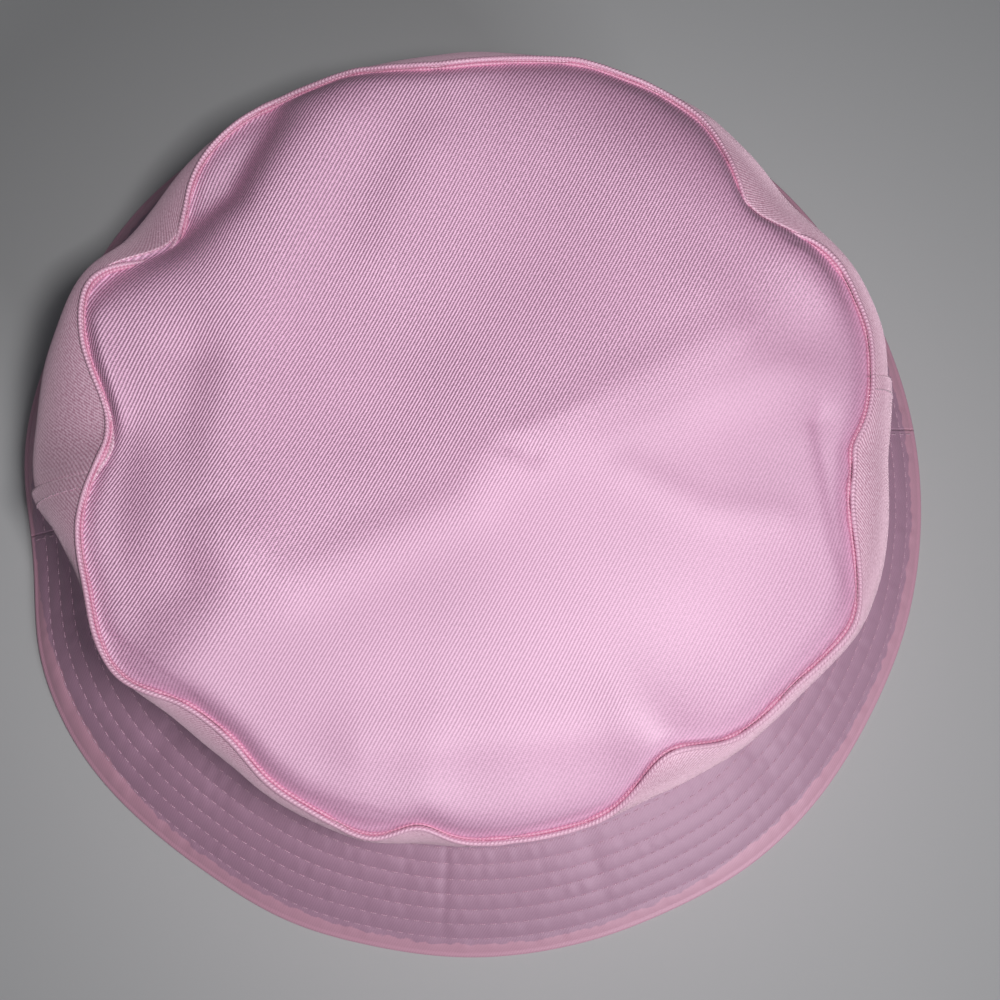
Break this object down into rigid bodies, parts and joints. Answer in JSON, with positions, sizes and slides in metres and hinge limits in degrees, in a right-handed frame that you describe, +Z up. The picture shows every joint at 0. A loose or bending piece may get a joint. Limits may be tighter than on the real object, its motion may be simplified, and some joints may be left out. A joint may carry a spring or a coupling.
{
  "type": "bucket hat",
  "caption": "Soft twill bucket hat with a flat crown tip, slumped sides and a short quilted brim, lying on its hem.",
  "frame": {"origin": "on the surface the hem rests on, under the middle of the crown", "axes": "+Z up through the middle of the crown tip; +X and -X through the side seams; -Y towards the front of the hat"},
  "size_m": [0.29, 0.29, 0.096],
  "materials": {
    "pink_twill": "matte cotton twill with fine diagonal ridges",
    "brim_twill": "matte cotton twill, quilted",
    "lining_cotton": "plain-weave cotton",
    "sweatband_twill": "herringbone cotton tape",
    "interlining": "stiff non-woven interlining",
    "pink_thread": "polyester sewing thread",
    "label_satin": "blank satin ribbon"
  },
  "bodies": {
    "root": {"brim_edge_allowance": "brim_twill", "brim_interlining_back": "interlining", "brim_interlining_front": "interlining", "brim_seam_allowance_left": "brim_twill", "brim_seam_allowance_right": "brim_twill", "brim_stitch_row_1": "pink_thread", "brim_stitch_row_2": "pink_thread", "brim_stitch_row_3": "pink_thread", "brim_stitch_row_4": "pink_thread", "brim_stitch_row_5": "pink_thread", "brim_stitch_row_6": "pink_thread", "brim_stitch_row_7": "pink_thread", "brim_stitch_row_8": "pink_thread", "brim_stitch_row_9": "pink_thread", "brim_top_back": "brim_twill", "brim_top_front": "brim_twill", "brim_under_back": "brim_twill", "brim_under_front": "brim_twill", "care_label": "label_satin", "crown_tip": "pink_twill", "head_seam_allowance": "pink_twill", "head_seam_thread": "pink_thread", "lining_side_back": "lining_cotton", "lining_side_front": "lining_cotton", "lining_tip": "lining_cotton", "side_panel_back": "pink_twill", "side_panel_front": "pink_twill", "side_seam_allowance_left": "pink_twill", "side_seam_allowance_right": "pink_twill", "side_topstitch_left": "pink_thread", "side_topstitch_right": "pink_thread", "sweatband": "sweatband_twill", "sweatband_stitch": "pink_thread", "tip_seam_allowance": "pink_twill", "tip_seam_welt": "pink_twill"}
  },
  "joints": []
}
